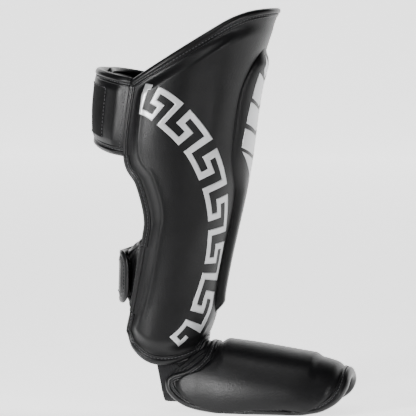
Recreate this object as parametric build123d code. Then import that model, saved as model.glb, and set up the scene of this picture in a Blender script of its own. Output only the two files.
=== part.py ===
"""Shin-and-instep guard for kickboxing, built from its separate sewn layers.

Millimetres, +Z up, +X towards the toes, -Y the wearer's right. The leg shell is a set of
nested tubes with one shared side outline, and the instep guard is a set of nested arches.
"""
from build123d import *
from functools import lru_cache
import os

# ---- the leg: height, front, back, half width, wall thickness ----
LEG_STATIONS = [
    (435, 70, -124, 84, 21),
    (410, 59, -128, 84, 21),
    (382, 48.5, -132, 83, 21),
    (340, 36, -135, 82.5, 21),
    (312, 31, -137, 81.5, 21),
    (285, 27.5, -137, 79.5, 21),
    (255, 23.5, -132, 76, 20.5),
    (224, 18.5, -122, 72, 20),
    (192, 11.5, -113, 67.5, 19.5),
    (156, 3.5, -109, 61, 19),
    (124, -2.5, -110, 57, 18),
    (104, -5, -111, 55.5, 16.5),
    (75, -13, -112, 54.5, 12),
    (40, -21, -112, 54, 8),
]

# ---- the instep: distance forward, top, half width, wall thickness ----
INSTEP_STATIONS = [
    (-62, 76, 44, 9),
    (-30, 76, 46.5, 9.5),
    (-10, 75.5, 50, 11.5),
    (10, 73, 53.5, 13),
    (40, 69.5, 55.5, 13),
    (80, 63.5, 55, 13),
    (105, 59.5, 52, 12),
    (125, 54, 47, 10),
    (150, 44, 36, 8),
]
INSTEP_CENTRE = 14          # height of the arch's widest line

# ---- the shell's side outline, (forward, height), each stretch one smooth curve ----
TOP_RIM = [(-82, 344), (-27, 375), (4, 392.5), (32, 408), (56, 416), (90, 418)]
UPPER_SEAM = [(-82, 344), (-93, 266)]
REAR_CUTOUT = [(-93, 266), (-79, 237), (-71, 203), (-76, 176)]
LOWER_SEAM = [(-76, 176), (-93, 106)]
BOTTOM_RIM = [(-93, 106), (-99, 86), (-90, 67), (-68, 54), (-42, 51.5), (-22, 58), (-12, 75), (0, 95)]
FRONT_CLEAR = 90            # the outline is closed in front of every leg section

# ---- the four wings that close behind the leg: (forward, height) of each edge ----
UPPER_TOP = [(-60, 340), (-82, 345), (-103, 349), (-145, 357)]
UPPER_BOTTOM = [(-145, 282), (-118, 273), (-93, 268), (-60, 262)]
LOWER_TOP = [(-56, 186), (-76, 176), (-95, 168), (-125, 160)]
LOWER_BOTTOM = [(-125, 119), (-108, 115), (-93, 108), (-70, 100)]
UPPER_FLAP_END = 42         # sideways reach of the right flap past the middle of the back
UPPER_LEFT_END = 20         # sideways reach of the left wing past the middle of the back
LOWER_STRAP_END = 40        # sideways reach of the lower strap past the middle of the back
LOWER_RIGHT_END = 14
SEAM_GAP = 1.0              # free play between the shell and a wing along their seam
OUTER_WING = (0.5, 8.5)     # depths below the shell's outer surface
INNER_WING = (12.0, 19.5)
LOWER_OUTER_WING = (0.5, 6.0)
LOWER_INNER_WING = (9.6, 15.2)

# ---- sheet goods ----
SKIN = 1.0
PLAY = 0.3                  # between two layers
BINDING_REACH = 7.0         # how far a binding tape laps over a rim
TAPE = 0.6
PATCH = 1.0

# ---- the raised central bar down the shin ----
BAR_RISE = 8.0
BAR_BOTTOM = 108
BAR_TOP = 388
BAR_HALF_WIDTH = [(95, 9), (180, 11), (230, 16), (280, 27), (330, 34), (400, 38)]

# ---- side outline of the instep guard, (forward, height) ----
INSTEP_PROXIMAL = [(-7, 100), (-9, 74), (-13, 58), (-28, 44), (-44, 39)]
INSTEP_REAR = [(-44, 39), (-50, 33), (-46, 20), (-30, 7.5), (-8, 2.2), (12, 1.2)]
INSTEP_TOE = [(92, 1.2), (112, 5), (128, 16), (136, 32), (137.8, 50), (137.8, 100)]
FOOT_STRAP = 1.8            # thickness of the elastic bands
ARCH_SIDES = (33, 27)       # the rear band's inside half width, low and high
ARCH_LEVELS = (9, 54)
TOE_SIDES = (37, 36.5)
TOE_LEVELS = (3, 26)


@lru_cache(maxsize=None)
def leg_tube(depth, share=0.0):
    """The leg's solid tube, shrunk by a depth plus a share of its wall."""
    sections = []
    for height, front, back, half_width, wall in LEG_STATIONS:
        inset = depth + share * wall
        centre = (front + back) / 2
        reach = (front - back) / 2
        plane = Plane(origin=(centre, 0, height))
        sections.append(plane * Ellipse(reach - inset, half_width - inset))
    return loft(sections)


@lru_cache(maxsize=None)
def instep_tube(depth, share=0.0):
    """The instep's solid arch, shrunk by a depth plus a share of its wall."""
    sections = []
    for forward, top, half_width, wall in INSTEP_STATIONS:
        inset = depth + share * wall
        plane = Plane(origin=(forward, 0, INSTEP_CENTRE), x_dir=(0, 1, 0), z_dir=(1, 0, 0))
        sections.append(plane * Ellipse(half_width - inset, top - INSTEP_CENTRE - inset))
    return loft(sections)


def grown(stretches, amount):
    """An outline's stretches with every point moved out along its mitre by the amount."""
    loop = [Vector(*point) for stretch in stretches for point in stretch[:-1]]
    double_area = sum(a.X * b.Y - b.X * a.Y for a, b in zip(loop, loop[1:] + loop[:1]))
    turn = 1 if double_area > 0 else -1
    moved = {}
    for before, here, after in zip(loop[-1:] + loop[:-1], loop, loop[1:] + loop[:1]):
        arriving = (here - before).normalized()
        leaving = (after - here).normalized()
        along = (arriving + leaving).normalized()
        mitre = amount / max(along.dot(leaving), 0.5)
        moved[(here.X, here.Y)] = (here.X + turn * along.Y * mitre, here.Y - turn * along.X * mitre)
    return [[moved[tuple(point)] for point in stretch] for stretch in stretches]


def side_face(*stretches):
    """A face in the side view from end-to-end stretches, each a line or one smooth curve."""
    edges = []
    for points in stretches:
        edges.append(Line(*points) if len(points) == 2 else Spline(*points))
    return make_face(edges)


def side_slab(stretches, grow=0.0):
    """A side-view outline, grown or shrunk, run right through the object sideways."""
    face = side_face(*(grown(stretches, grow) if grow else stretches))
    return extrude(Plane.XZ * face, amount=150, both=True)


def polygon_slab(*points):
    face = make_face(Polyline(*points, close=True))
    return extrude(Plane.XZ * face, amount=150, both=True)


def sideways(low, high):
    """Everything between two distances from the middle."""
    return Pos(0, (low + high) / 2, 200) * Box(600, high - low, 600)


def whole(shape):
    """One clean part from a boolean's result, without crumbs."""
    solids = [solid for solid in shape.solids() if solid.volume > 30]
    return solids[0] if len(solids) == 1 else Compound(children=solids)


# ---- outlines and the regions that trim the layers ----
FRONT_CORNER = (FRONT_CLEAR, 120)
SHELL_OUTLINE = [
    TOP_RIM,
    [TOP_RIM[-1], FRONT_CORNER],
    [FRONT_CORNER, BOTTOM_RIM[-1]],
    BOTTOM_RIM[::-1],
    LOWER_SEAM[::-1],
    REAR_CUTOUT[::-1],
    UPPER_SEAM[::-1],
]
INSTEP_OUTLINE = [
    INSTEP_PROXIMAL,
    INSTEP_REAR,
    [INSTEP_REAR[-1], INSTEP_TOE[0]],
    INSTEP_TOE,
    [INSTEP_TOE[-1], INSTEP_PROXIMAL[0]],
]
UPPER_WING_OUTLINE = [
    UPPER_TOP, [UPPER_TOP[-1], UPPER_BOTTOM[0]], UPPER_BOTTOM, [UPPER_BOTTOM[-1], UPPER_TOP[0]]]
LOWER_WING_OUTLINE = [
    LOWER_TOP, [LOWER_TOP[-1], LOWER_BOTTOM[0]], LOWER_BOTTOM, [LOWER_BOTTOM[-1], LOWER_TOP[0]]]
parts = {}


def behind(seam):
    """The space behind a seam line, less its free play."""
    (top_x, top_z), (low_x, low_z) = seam
    run = 200 / (top_z - low_z)
    high = (top_x + (top_x - low_x) * run - SEAM_GAP, top_z + 200)
    low = (low_x - (top_x - low_x) * run - SEAM_GAP, low_z - 200)
    return polygon_slab(high, low, (-400, low[1]), (-400, high[1]))


def rim_tape(layer, region, outer, inner):
    """A U-section tape over a rim: outside, edge and inside, around the layers between two tubes."""
    (out_depth, out_share), (in_depth, in_share) = outer, inner
    jacket = layer(out_depth - PLAY - TAPE, out_share) - layer(in_depth + PLAY + TAPE, in_share)
    filling = layer(out_depth - PLAY, out_share) - layer(in_depth + PLAY, in_share)
    band = region(TAPE + PLAY) - region(-BINDING_REACH)
    return (jacket & band) - (filling & region(PLAY))


def shell_layer(outer, inner, grow=0.0):
    """A layer of the shell between two tubes, each a depth and a share of the wall."""
    return (leg_tube(*outer) - leg_tube(*inner)) & side_slab(SHELL_OUTLINE, grow)


def build_shell():
    parts["shin_cover"] = shell_layer((0, 0), (SKIN, 0))
    parts["shin_outer_foam"] = shell_layer((PLAY, 0.40), (0, 0.70), -0.5)
    parts["shin_inner_foam"] = shell_layer((PLAY, 0.70), (-SKIN - PLAY, 1.0), -0.5)
    parts["shin_lining"] = shell_layer((-SKIN, 1.0), (0, 1.0))
    raised = shell_layer((SKIN + PLAY, 0), (0, 0.40), -12)
    parts["side_foam_right"] = raised & sideways(-120, -14)
    parts["side_foam_left"] = raised & sideways(14, 120)


def build_shell_bindings():
    """Tapes round the shell's free rims; the seams with the wings carry none."""
    tape = rim_tape(leg_tube, lambda grow: side_slab(SHELL_OUTLINE, grow), (0, 0), (0, 1.0))
    parts["shin_top_binding"] = tape & polygon_slab((-83, 337), (-30, 360), (40, 395), (120, 395), (120, 460), (-66, 460))
    cutout = tape & polygon_slab((-95, 262), (-55, 262), (-55, 180), (-95, 180))
    parts["side_binding_right"] = cutout & sideways(-120, 0)
    parts["side_binding_left"] = cutout & sideways(0, 120)
    parts["shin_bottom_binding"] = tape & polygon_slab((-120, 101), (60, 101), (60, 20), (-120, 20))


def build_bar():
    """The bar stands on the front of the cover and narrows towards the ankle."""
    def prism(shrink):
        right = [(half - shrink, height) for height, half in BAR_HALF_WIDTH]
        left = [(-half, height) for half, height in right]
        face = side_face(right, [right[-1], left[-1]], left[::-1], [left[0], right[0]])
        front_view = Plane(origin=(-40, 0, 0), x_dir=(0, 1, 0), z_dir=(1, 0, 0))
        height = BAR_TOP - BAR_BOTTOM - 2 * shrink
        middle = Pos(0, 0, (BAR_BOTTOM + BAR_TOP) / 2)
        return extrude(front_view * face, amount=140) & middle * Box(400, 200, height)

    whole_bar = (leg_tube(-BAR_RISE) - leg_tube(-PLAY)) & prism(0)
    hollow = (leg_tube(-BAR_RISE + SKIN) - leg_tube(0)) & prism(SKIN)
    parts["bar_cover"] = whole_bar - hollow
    inside = SKIN + PLAY
    parts["bar_foam"] = (leg_tube(-BAR_RISE + inside) - leg_tube(-PLAY)) & prism(inside)


def build_wing(name, outline, seam, depths, reach, patch_side, patch_box):
    """A padded wing: cover, pad and lining in a bound edge, with its fastening patch."""
    outer, inner = depths
    low, high = reach

    def region(grow):
        return side_slab(outline, grow) & sideways(low - (grow if low > -100 else 0), high + (grow if high < 100 else 0))

    space = behind(seam)
    layers = {
        "cover": (outer, outer + SKIN),
        "pad": (outer + SKIN + PLAY, inner - SKIN - PLAY),
        "lining": (inner - SKIN, inner),
    }
    for layer, (near, far) in layers.items():
        grow = -0.5 if layer == "pad" else 0
        parts[f"{name}_{layer}"] = (leg_tube(near) - leg_tube(far)) & region(grow) & space
    parts[f"{name}_binding"] = rim_tape(leg_tube, region, (outer, 0), (inner, 0)) & space
    face_depth = outer - PLAY if patch_side == "outside" else inner + PLAY + PATCH
    patch = (leg_tube(face_depth - PATCH) - leg_tube(face_depth)) & patch_box & space
    kind = "loop" if patch_side == "outside" else "hook"
    parts[f"{name}_{kind}_patch"] = patch & region(-BINDING_REACH - 2)


def build_wings():
    build_wing("upper_flap", UPPER_WING_OUTLINE, UPPER_SEAM, OUTER_WING, (-120, UPPER_FLAP_END),
               "inside", sideways(-45, 34))
    build_wing("upper_left_wing", UPPER_WING_OUTLINE, UPPER_SEAM, INNER_WING, (-UPPER_LEFT_END, 120),
               "outside", sideways(-12, 45))
    build_wing("lower_strap", LOWER_WING_OUTLINE, LOWER_SEAM, LOWER_OUTER_WING, (-LOWER_STRAP_END, 120),
               "inside", sideways(-30, 25))
    build_wing("lower_right_wing", LOWER_WING_OUTLINE, LOWER_SEAM, LOWER_INNER_WING, (-120, LOWER_RIGHT_END),
               "outside", sideways(-25, 8))


def instep_layer(outer, inner, grow=0.0):
    """A layer of the instep guard between two arches."""
    return (instep_tube(*outer) - instep_tube(*inner)) & side_slab(INSTEP_OUTLINE, grow)


def build_instep():
    parts["instep_cover"] = instep_layer((0, 0), (SKIN, 0))
    raised = instep_layer((SKIN + PLAY, 0), (0, 0.40), -9)
    parts["instep_top_foam"] = raised
    parts["instep_base_foam"] = instep_layer((PLAY, 0.40), (-SKIN - PLAY, 1.0))
    parts["instep_lining"] = instep_layer((-SKIN, 1.0), (0, 1.0))
    parts["instep_binding"] = rim_tape(
        instep_tube, lambda grow: side_slab(INSTEP_OUTLINE, grow), (0, 0), (0, 1.0))


def foot_band(sides, levels):
    """An elastic band's U, from one inner wall under the foot to the other."""
    (low_side, high_side), (bottom, top) = sides, levels

    def outline(grow):
        corners = [
            (-high_side - grow, top),
            (-low_side - grow, bottom - grow),
            (low_side + grow, bottom - grow),
            (high_side + grow, top),
        ]
        sheet = make_face(Polyline(*corners, close=True))
        return fillet(sheet.vertices().sort_by(Axis.Y)[:2], radius=14 + grow)

    front_view = Plane(origin=(-100, 0, 0), x_dir=(0, 1, 0), z_dir=(1, 0, 0))
    return extrude(front_view * (outline(FOOT_STRAP) - outline(0)), amount=300)


def build_foot_straps():
    arch = foot_band(ARCH_SIDES, ARCH_LEVELS)
    parts["arch_strap"] = arch & polygon_slab((-62, 54), (-54, 24), (-53, 4), (-33, 4), (-36, 42), (-48, 45))
    toe = foot_band(TOE_SIDES, TOE_LEVELS)
    parts["toe_strap"] = toe & polygon_slab((58, 0), (84, 0), (84, 40), (58, 40))
    tab = polygon_slab((-46, 24), (-37, 24), (-38, 38), (-47, 40))
    patch = foot_band([side - SKIN - PLAY for side in ARCH_SIDES], ARCH_LEVELS) & tab
    patch = patch - foot_band([side - PLAY for side in ARCH_SIDES], ARCH_LEVELS)
    parts["arch_strap_tab_right"] = patch & sideways(-60, 0)
    parts["arch_strap_tab_left"] = patch & sideways(0, 60)


def build_ankle_gusset():
    """A thin elastic tongue that hangs inside the shell over the front of the ankle."""
    depth = 2 * PLAY + TAPE
    sheet = leg_tube(depth, 1.0) - leg_tube(depth + SKIN, 1.0)
    parts["ankle_gusset"] = sheet & polygon_slab((-34, 52), (0, 52), (0, 96), (-34, 96))


build_shell()
build_shell_bindings()
build_bar()
build_wings()
build_instep()
build_foot_straps()
build_ankle_gusset()

os.makedirs("parts", exist_ok=True)
for name, shape in parts.items():
    solid = whole(shape)
    export_step(solid, f"parts/{name}.step")
    box = solid.bounding_box()
    print(name, [round(v, 1) for v in (*box.min, *box.max)], round(solid.volume), len(solid.solids()))
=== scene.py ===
"""Looks of a kickboxing shin-and-instep guard in black leather.

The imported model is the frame. Lengths are millimetres and sheet limits are degrees, unless a
comment says otherwise, and every mesh is made in metres. Each sheet of the guard is laid on a
rounded form, as a maker lays leather on a last.
"""

import logging
import math
from dataclasses import dataclass, field
from enum import Enum
from typing import Any, Callable, Sequence

import bpy
import numpy as np
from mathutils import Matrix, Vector
from mathutils.bvhtree import BVHTree


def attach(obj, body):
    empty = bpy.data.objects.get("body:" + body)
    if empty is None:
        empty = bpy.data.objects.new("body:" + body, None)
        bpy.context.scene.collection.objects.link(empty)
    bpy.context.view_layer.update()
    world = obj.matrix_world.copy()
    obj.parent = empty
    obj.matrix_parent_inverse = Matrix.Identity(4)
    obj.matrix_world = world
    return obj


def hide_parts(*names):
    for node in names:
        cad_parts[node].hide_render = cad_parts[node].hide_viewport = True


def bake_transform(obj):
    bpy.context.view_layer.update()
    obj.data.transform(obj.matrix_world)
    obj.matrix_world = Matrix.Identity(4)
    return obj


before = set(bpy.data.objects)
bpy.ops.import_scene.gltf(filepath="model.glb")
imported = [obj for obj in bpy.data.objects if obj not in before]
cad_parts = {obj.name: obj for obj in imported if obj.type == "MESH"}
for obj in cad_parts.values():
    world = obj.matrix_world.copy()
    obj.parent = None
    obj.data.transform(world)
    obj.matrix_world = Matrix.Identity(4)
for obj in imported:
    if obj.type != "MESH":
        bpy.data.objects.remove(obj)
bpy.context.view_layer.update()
LOG = logging.getLogger("shin_guard")
MM = 0.001
Array = np.ndarray
Node = bpy.types.Node
Piece = bpy.types.Object
Socket = bpy.types.NodeSocket
Tree = bpy.types.NodeTree
Pair = tuple[Array, Array]
Cell = tuple[int, int]
Points = Sequence[Sequence[float]]
Reader = Callable[[Array], Array]
Gate = Callable[[Array, Array, Array, Array], Array]


class Body(Enum):
    """The frame's moving bodies."""

    SHELL = "shin_shell"
    FLAP = "upper_flap"
    LEFT_WING = "upper_left_wing"
    STRAP = "lower_strap"
    RIGHT_WING = "lower_right_wing"
    INSTEP = "instep_guard"


class Slot(Enum):
    """The record's material slots."""

    LEATHER = "black_leather"
    TAPE = "binding_tape"
    LINING = "lining_cloth"
    HOOK = "hook_tape"
    LOOP = "loop_tape"
    ELASTIC = "elastic_webbing"
    SILVER = "silver_print"
    THREAD = "stitching"


class Side(Enum):
    """The wearer's side, as the sign of y."""

    RIGHT = -1
    LEFT = 1


# ---- finishes


def set_inputs(node: Node, values: dict[str, Any]) -> None:
    """Set a node's inputs by name."""
    for name, value in values.items():
        node.inputs[name].default_value = value


def add_node(
    tree: Tree, kind: str, values: dict[str, Any], links: dict[str | int, Socket],
    **settings: str,
) -> Node:
    """Add a shader node to a tree.

    Args:
        tree: The tree.
        kind: The node's type, without the prefix that all have.
        values: Values of its inputs.
        links: Sockets that feed its inputs.
        **settings: Its other settings.

    Returns:
        The node.
    """
    node = tree.nodes.new("ShaderNode" + kind)
    for name, setting in settings.items():
        setattr(node, name, setting)
    set_inputs(node, values)
    for name, socket in links.items():
        tree.links.new(socket, node.inputs[name])
    return node


def place_of(tree: Tree) -> Socket:
    """Return the object-space coordinates that the textures use."""
    return add_node(tree, "TexCoord", {}, {}).outputs["Object"]


def noise(tree: Tree, scale: float) -> Socket:
    """Add a noise texture of so many features per metre, and return its factor."""
    values = {"Scale": scale, "Detail": 4.0}
    return add_node(tree, "TexNoise", values, {"Vector": place_of(tree)}).outputs["Fac"]


@dataclass(frozen=True)
class Finish:
    """A surface finish with noise for grain. Scales are features per metre, heights metres."""

    name: str
    slot: Slot
    colour: tuple[float, float, float]
    roughness: float
    grain_scale: float = 900.0
    grain_height: float = 0.00006
    tone_change: float = 0.3
    metallic: float = 0.0
    specular: float = 0.5
    sheen: float = 0.0
    tone_scale: float = 60.0
    wear_scale: float = 220.0

    def make(self) -> bpy.types.Material:
        """Build the material once and reuse it.

        Returns:
            The finished node material.
        """
        known = bpy.data.materials.get(self.name)
        if known:
            return known
        material = bpy.data.materials.new(self.name)
        material.use_nodes = True
        tree = material.node_tree
        shader = tree.nodes["Principled BSDF"]
        set_inputs(shader, {
            "Metallic": self.metallic, "Specular IOR Level": self.specular,
            "Sheen Weight": self.sheen, "Sheen Roughness": 0.5})
        self.tone(tree, shader)
        self.relief(tree, shader)
        return material

    def tone(self, tree: Tree, shader: Node) -> None:
        """Vary colour and roughness gently across the surface.

        Args:
            tree: The material's node tree.
            shader: The principled shader.
        """
        ramp = add_node(tree, "ValToRGB", {}, {"Fac": noise(tree, self.tone_scale)})
        shades = ((0.3, 1 - self.tone_change), (0.7, 1 + self.tone_change))
        for stop, (position, factor) in zip(ramp.color_ramp.elements, shades):
            stop.position = position
            stop.color = (*(min(1.0, c * factor) for c in self.colour), 1)
        tree.links.new(ramp.outputs["Color"], shader.inputs["Base Color"])
        limits = {"To Min": self.roughness - 0.05, "To Max": self.roughness + 0.07}
        rough = add_node(tree, "MapRange", limits, {"Value": noise(tree, self.wear_scale)})
        tree.links.new(rough.outputs["Result"], shader.inputs["Roughness"])

    def height(self, tree: Tree) -> Socket:
        """Return the grain's height signal."""
        return noise(tree, self.grain_scale)

    def relief(self, tree: Tree, shader: Node) -> None:
        """Turn the height signal into bump.

        Args:
            tree: The material's node tree.
            shader: The principled shader.
        """
        values = {"Distance": self.grain_height, "Strength": 0.8}
        bump = add_node(tree, "Bump", values, {"Height": self.height(tree)})
        tree.links.new(bump.outputs["Normal"], shader.inputs["Normal"])


@dataclass(frozen=True)
class GrainedLeather(Finish):
    """Coated leather with small pebbles between fine creases."""

    def height(self, tree: Tree) -> Socket:
        """Mix pebble cells with fine noise.

        Args:
            tree: The material's node tree.

        Returns:
            The height signal.
        """
        cells = add_node(
            tree, "TexVoronoi", {"Scale": self.grain_scale}, {"Vector": place_of(tree)},
            feature="SMOOTH_F1")
        creases = noise(tree, self.grain_scale * 1.7)
        links = {0: cells.outputs["Distance"], 1: creases}
        return add_node(tree, "Math", {}, links, operation="ADD").outputs["Value"]


@dataclass(frozen=True)
class WovenCloth(Finish):
    """Cloth or webbing with crossing ribs."""

    rib_scale: float = 420.0

    def height(self, tree: Tree) -> Socket:
        """Cross two wave textures into a weave.

        Args:
            tree: The material's node tree.

        Returns:
            The height signal.
        """
        values = {"Scale": self.rib_scale, "Distortion": 0.6}
        waves = [
            add_node(
                tree, "TexWave", values, {"Vector": place_of(tree)}, bands_direction=direction)
            for direction in ("Z", "DIAGONAL")]
        links = {k: wave.outputs["Fac"] for k, wave in enumerate(waves)}
        return add_node(tree, "Math", {}, links, operation="MULTIPLY").outputs["Value"]


LEATHER = GrainedLeather(
    "black_grained_leather", Slot.LEATHER, (0.0032, 0.0032, 0.0036), 0.38,
    grain_scale=760, grain_height=0.00012, tone_change=0.25, specular=0.26)
TAPE = GrainedLeather(
    "folded_edge_tape", Slot.TAPE, (0.0036, 0.0036, 0.004), 0.33,
    grain_scale=980, grain_height=0.00007, tone_change=0.25, specular=0.3)
MATTE = GrainedLeather(
    "matte_backing", Slot.LEATHER, (0.0026, 0.0026, 0.0028), 0.75,
    grain_height=0.00008, tone_change=0.2, specular=0.12)
LINING = WovenCloth("knitted_lining", Slot.LINING, (0.006, 0.006, 0.007), 0.9, specular=0.15)
ELASTIC = WovenCloth(
    "elastic_band", Slot.ELASTIC, (0.010, 0.010, 0.011), 0.75,
    grain_height=0.0002, specular=0.2, rib_scale=260)
HOOK = Finish(
    "hook_fastener", Slot.HOOK, (0.006, 0.006, 0.007), 0.6,
    grain_scale=1400, grain_height=0.0005, tone_change=0.5, specular=0.2)
LOOP = Finish(
    "loop_fastener", Slot.LOOP, (0.008, 0.008, 0.009), 0.95,
    grain_scale=1900, grain_height=0.0006, tone_change=0.5, specular=0.1, sheen=0.05)
SILVER = Finish(
    "satin_silver_film", Slot.SILVER, (0.56, 0.565, 0.575), 0.36,
    grain_height=0.00003, tone_change=0.08, metallic=0.45)
# Painted highlight: the thread itself is near-black like the leather, and this lighter grey stands
# in for the glints on the stitches.
THREAD = Finish(
    "sewing_thread_painted_highlight", Slot.THREAD, (0.05, 0.05, 0.053), 0.5,
    grain_scale=3000, grain_height=0.0001, tone_change=0.4, specular=0.4)


# ---- curves and forms


def smooth_curve(points: Points, steps: int = 16) -> Array:
    """Run a smooth curve through points.

    Args:
        points: Rows of coordinates.
        steps: Samples on each span.

    Returns:
        The sampled curve, one row for each sample.
    """
    knots = np.asarray(points, float)
    padded = np.vstack([2 * knots[0] - knots[1], knots, 2 * knots[-1] - knots[-2]])
    t = np.linspace(0, 1, steps, endpoint=False)[:, None]
    spans = []
    for a, b, c, d in zip(padded, padded[1:], padded[2:], padded[3:]):
        cubic = (-a + 3 * b - 3 * c + d) * t**3 + (2 * a - 5 * b + 4 * c - d) * t**2
        spans.append(0.5 * (cubic + (c - a) * t + 2 * b))
    return np.vstack([*spans, knots[-1:]])


def reader(points: Points, key: int = 0, value: int = 1) -> Reader:
    """Make a function that reads one coordinate of a smooth curve from another.

    Args:
        points: The curve's points.
        key: The column that is looked up.
        value: The column that is read.

    Returns:
        A function of the key, held level past its ends.
    """
    curve = smooth_curve(points)
    order = np.argsort(curve[:, key])
    keys, values = curve[order, key], curve[order, value]
    return lambda at: np.interp(at, keys, values)


def ease(amount: Array) -> Array:
    """Smooth step from 0 to 1."""
    t = np.clip(amount, 0, 1)
    return t * t * (3 - 2 * t)


def bell(place: Array, middle: float, width: float) -> Array:
    """Return a bell curve of height 1 round a middle."""
    return np.exp(-(((place - middle) / width) ** 2))


def unit(vectors: Array) -> Array:
    """Scale vectors to length 1."""
    return vectors / np.linalg.norm(vectors, axis=-1, keepdims=True)


def run_of(line: Array) -> Array:
    """Return the distance along a line at each of its points."""
    return np.concatenate([[0], np.cumsum(np.linalg.norm(np.diff(line, axis=0), axis=-1))])


def read_at(at: Array | list[float], run: Array, values: Array) -> Array:
    """Read vectors that go with a line's points at distances along it."""
    return np.stack([np.interp(at, run, values[:, k]) for k in range(3)], -1)


def solve(gap: Reader, low: Array, high: Array) -> Array:
    """Find where a rising function crosses zero, by halving.

    Args:
        gap: The function.
        low: Lower limits.
        high: Upper limits.

    Returns:
        The crossing of each entry.
    """
    for _ in range(40):
        middle = (low + high) / 2
        past = gap(middle) > 0
        high = np.where(past, middle, high)
        low = np.where(past, low, middle)
    return (low + high) / 2


@dataclass
class Form:
    """A rounded form with stations, each its place along the form and its section's sizes.

    Points are placed by angle in radians, positive to the left, by station and by depth under
    the form's surface.
    """

    stations: Points

    def __post_init__(self) -> None:
        """Make a reader of each size and note both ends."""
        self.sizes = [reader(self.stations, 0, k) for k in range(1, len(self.stations[0]))]
        self.wall = self.sizes[-1]
        ends = (float(self.stations[0][0]), float(self.stations[-1][0]))
        self.lowest, self.highest = min(ends), max(ends)


@dataclass
class LegForm(Form):
    """The leg's outside, an upright tube with oval sections.

    Each station is its height, front x, back x, half width and wall thickness.
    """

    stations: Points = (
        (435, 70, -124, 84, 21), (410, 59, -128, 84, 21), (382, 48.5, -132, 83, 21),
        (340, 36, -135, 82.5, 21), (312, 31, -137, 81.5, 21), (285, 27.5, -137, 79.5, 21),
        (255, 23.5, -132, 76, 20.5), (224, 18.5, -122, 72, 20), (192, 11.5, -113, 67.5, 19.5),
        (156, 3.5, -109, 61, 19), (124, -2.5, -110, 57, 18), (104, -5, -111, 55.5, 16.5),
        (75, -13, -112, 54.5, 12), (40, -21, -112, 54, 8),
    )

    def point(self, angle: Array, station: Array, depth: Array | float) -> Array:
        """Place points round the leg, from its front.

        Args:
            angle: Angles.
            station: Heights.
            depth: Depths.

        Returns:
            Positions, the last axis being x, y and z.
        """
        front, back, half_width = (size(station) for size in self.sizes[:3])
        x = (front + back) / 2 + ((front - back) / 2 - depth) * np.cos(angle)
        y = (half_width - depth) * np.sin(angle)
        return np.stack([x, y, station + 0 * angle], -1)

    def half_width(self, station: Array) -> Array:
        """Return the half width at each height."""
        return self.sizes[2](station)

    def across(self, points: Array) -> Array:
        """Return the side-view coordinate that isn't the station."""
        return points[..., 0]


@dataclass
class FootForm(Form):
    """The instep's outside, an arch that runs forward.

    Each station is its x, top height, half width and wall thickness.
    """

    stations: Points = (
        (-62, 76, 44, 9), (-30, 76, 46.5, 9.5), (-10, 75.5, 50, 11.5), (10, 73, 53.5, 13),
        (40, 69.5, 55.5, 13), (80, 63.5, 55, 13), (105, 59.5, 52, 12), (125, 54, 47, 10),
        (150, 44, 36, 8),
    )
    middle: float = 14.0

    def point(self, angle: Array, station: Array, depth: Array | float) -> Array:
        """Place points round the arch, from its top.

        Args:
            angle: Angles.
            station: Distances forward.
            depth: Depths.

        Returns:
            Positions, the last axis being x, y and z.
        """
        top, half_width = (size(station) for size in self.sizes[:2])
        y = (half_width - depth) * np.sin(angle)
        z = self.middle + (top - self.middle - depth) * np.cos(angle)
        return np.stack([station + 0 * angle, y, z], -1)

    def across(self, points: Array) -> Array:
        """Return the side-view coordinate that isn't the station."""
        return points[..., 2]


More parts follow.
